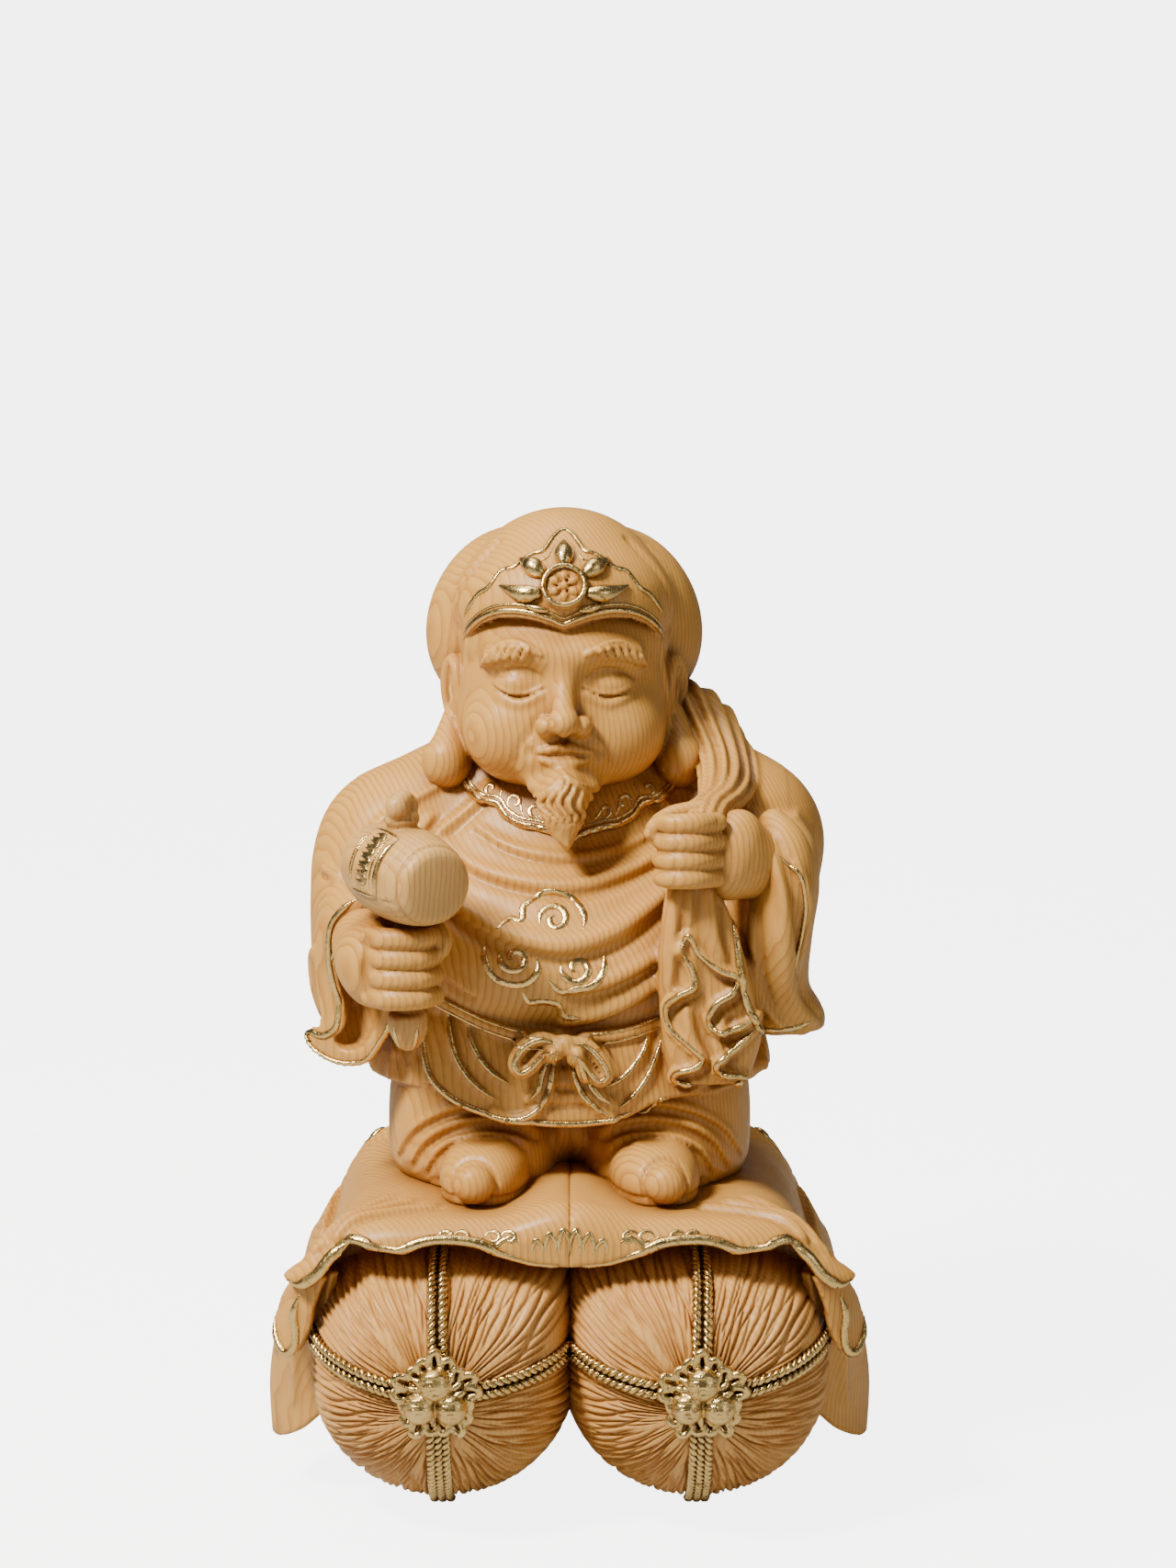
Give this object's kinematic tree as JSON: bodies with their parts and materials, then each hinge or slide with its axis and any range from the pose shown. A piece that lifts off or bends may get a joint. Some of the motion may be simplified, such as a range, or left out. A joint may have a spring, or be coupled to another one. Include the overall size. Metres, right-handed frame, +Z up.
{
  "type": "carved wooden fortune figure",
  "caption": "Joined-wood carving of a robed figure with mallet and sack on two rice bales; it lifts off its base and the mallet turns.",
  "frame": {"origin": "on the floor under the middle of the base", "axes": "+Z up, the figure faces -Y, +X is the figure's own left"},
  "size_m": [0.125, 0.118, 0.2078],
  "materials": {
    "carved_wood": "satin pale cypress with gold line painting",
    "mallet_wood": "satin pale cypress with gold line painting",
    "peg_wood": "plain turned dowel"
  },
  "bodies": {
    "base": {"base_left_half": "carved_wood", "base_right_half": "carved_wood", "base_dowel_front": "peg_wood", "base_dowel_rear": "peg_wood"},
    "figure": {"robe_core": "carved_wood", "robe_left_side": "carved_wood", "robe_right_side": "carved_wood", "sack": "carved_wood", "head": "carved_wood", "left_hand": "carved_wood", "right_hand": "carved_wood", "neck_peg": "peg_wood", "sack_dowel": "peg_wood", "side_dowel_left_upper": "peg_wood", "side_dowel_left_lower": "peg_wood", "side_dowel_right_upper": "peg_wood", "side_dowel_right_lower": "peg_wood", "wrist_dowel_left": "peg_wood", "wrist_dowel_right": "peg_wood", "foot_peg_left": "peg_wood", "foot_peg_right": "peg_wood"},
    "mallet_handle": {"mallet_handle": "mallet_wood"},
    "mallet_head": {"mallet_barrel": "mallet_wood", "mallet_finial": "mallet_wood"}
  },
  "joints": [
    {"name": "figure_lift", "type": "slide", "parent": "base", "child": "figure", "axis": [0, 0, 1], "range_m": [0, 0.018]},
    {"name": "mallet_turn", "type": "hinge", "parent": "figure", "child": "mallet_handle", "pos_m": [-0.0332, -0.0333, 0.102], "axis": [-0.0145, -0.0913, 0.9957], "range_deg": [-20, 20]},
    {"name": "mallet_head_pull", "type": "slide", "parent": "mallet_handle", "child": "mallet_head", "axis": [-0.0145, -0.0913, 0.9957], "range_m": [0, 0.014]}
  ]
}
